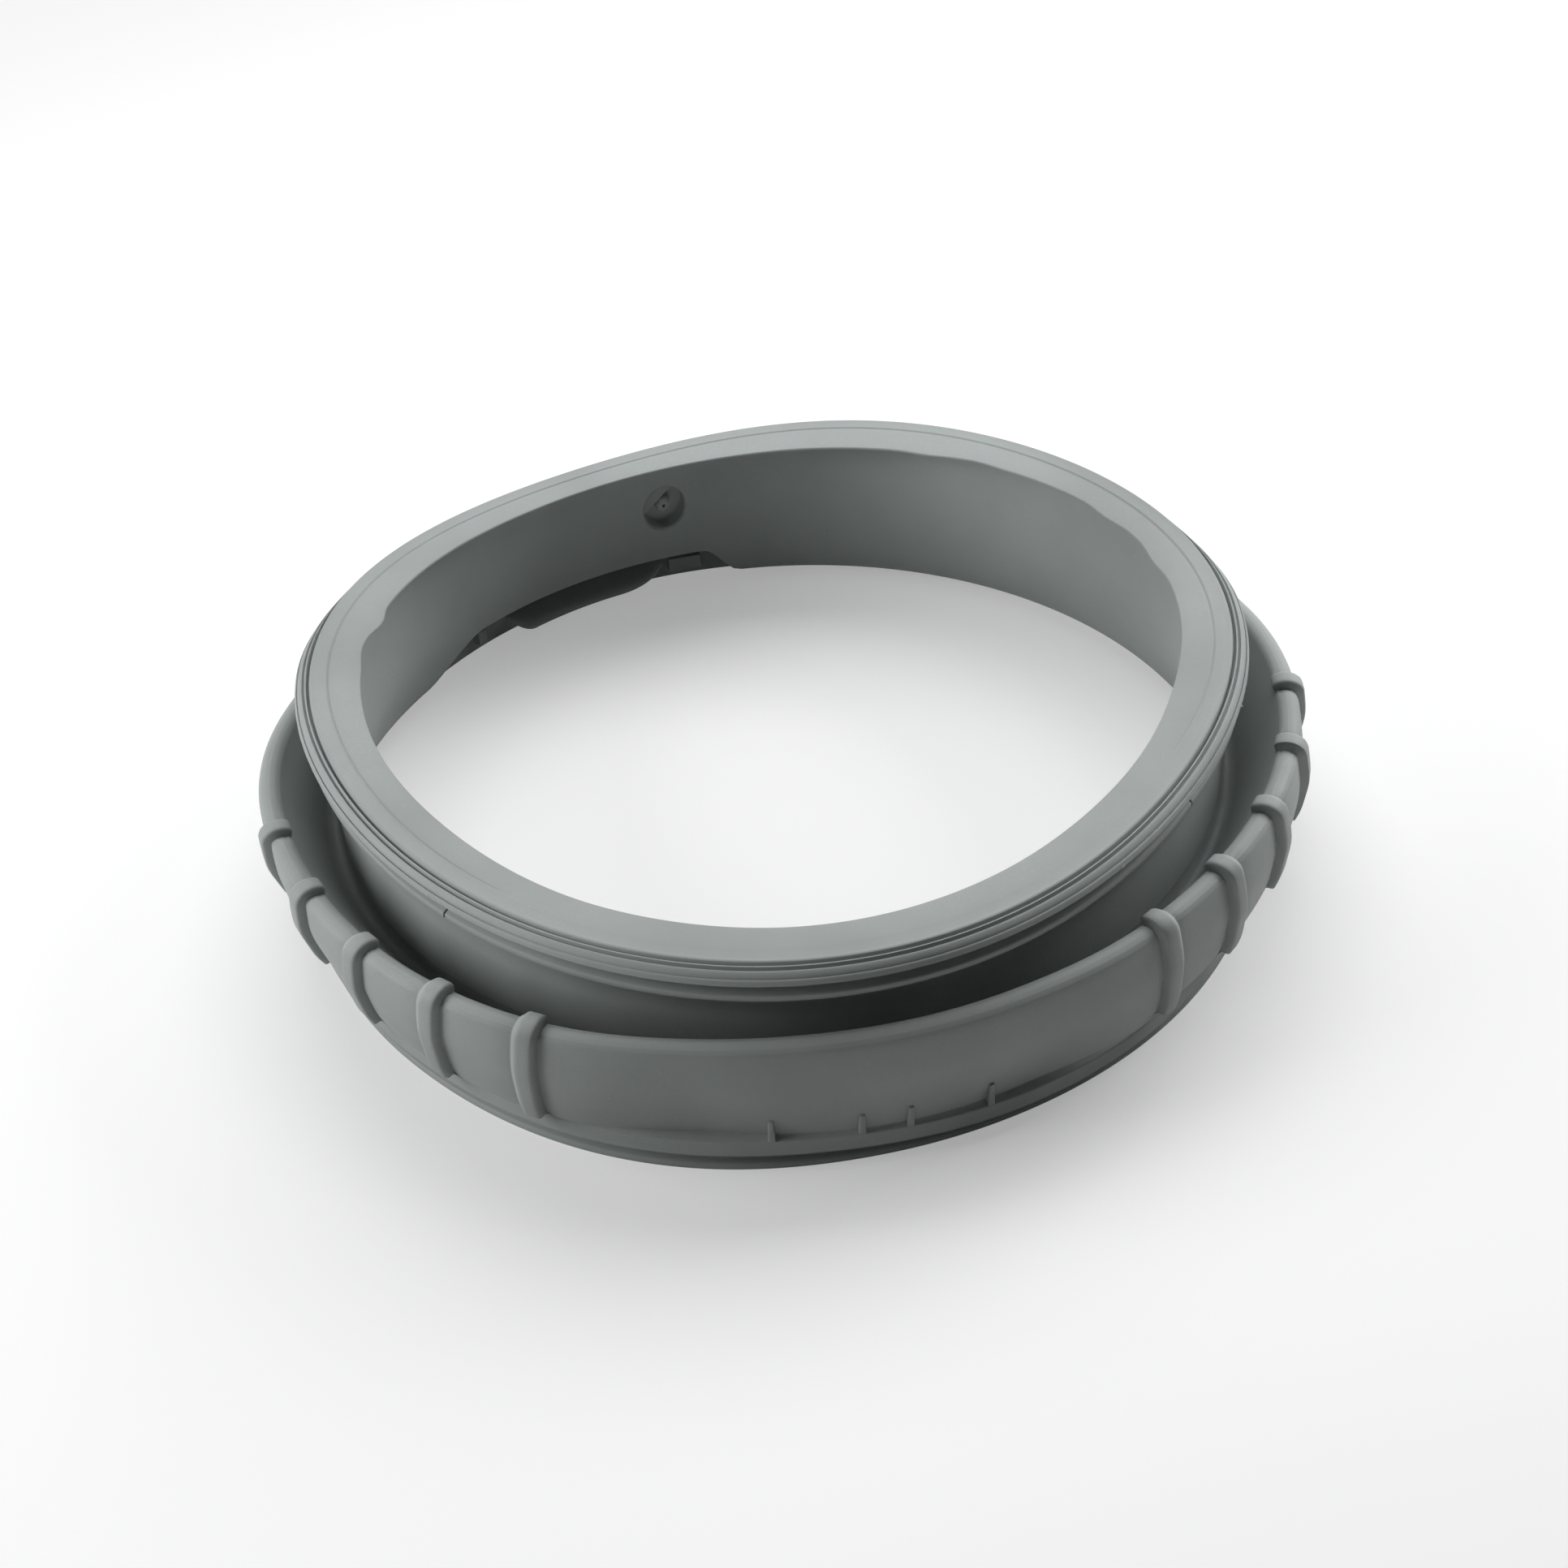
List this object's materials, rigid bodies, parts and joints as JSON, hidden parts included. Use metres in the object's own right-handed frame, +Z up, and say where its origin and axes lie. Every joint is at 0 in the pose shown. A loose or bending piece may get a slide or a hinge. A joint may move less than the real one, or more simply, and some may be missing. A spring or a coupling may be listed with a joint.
{
  "type": "washing machine door seal",
  "caption": "Moulded rubber door gasket ring for a front-loading washer: flat flange with sealing lip and rim slot, deep convoluted fold with rounded ribs, and a lip that grips the tub.",
  "frame": {"origin": "on the floor under the middle of the ring's outline, the seal lying on its tub side", "axes": "+Z up through the ring from the tub side to the door side; -Y towards the flattened stretch of the fold with the four small gussets; +X to the right of that"},
  "size_m": [0.461, 0.4436, 0.1018],
  "materials": {
    "grey_rubber": "matt, slightly green grey"
  },
  "bodies": {
    "root": {"door_seal": "grey_rubber"}
  },
  "joints": []
}
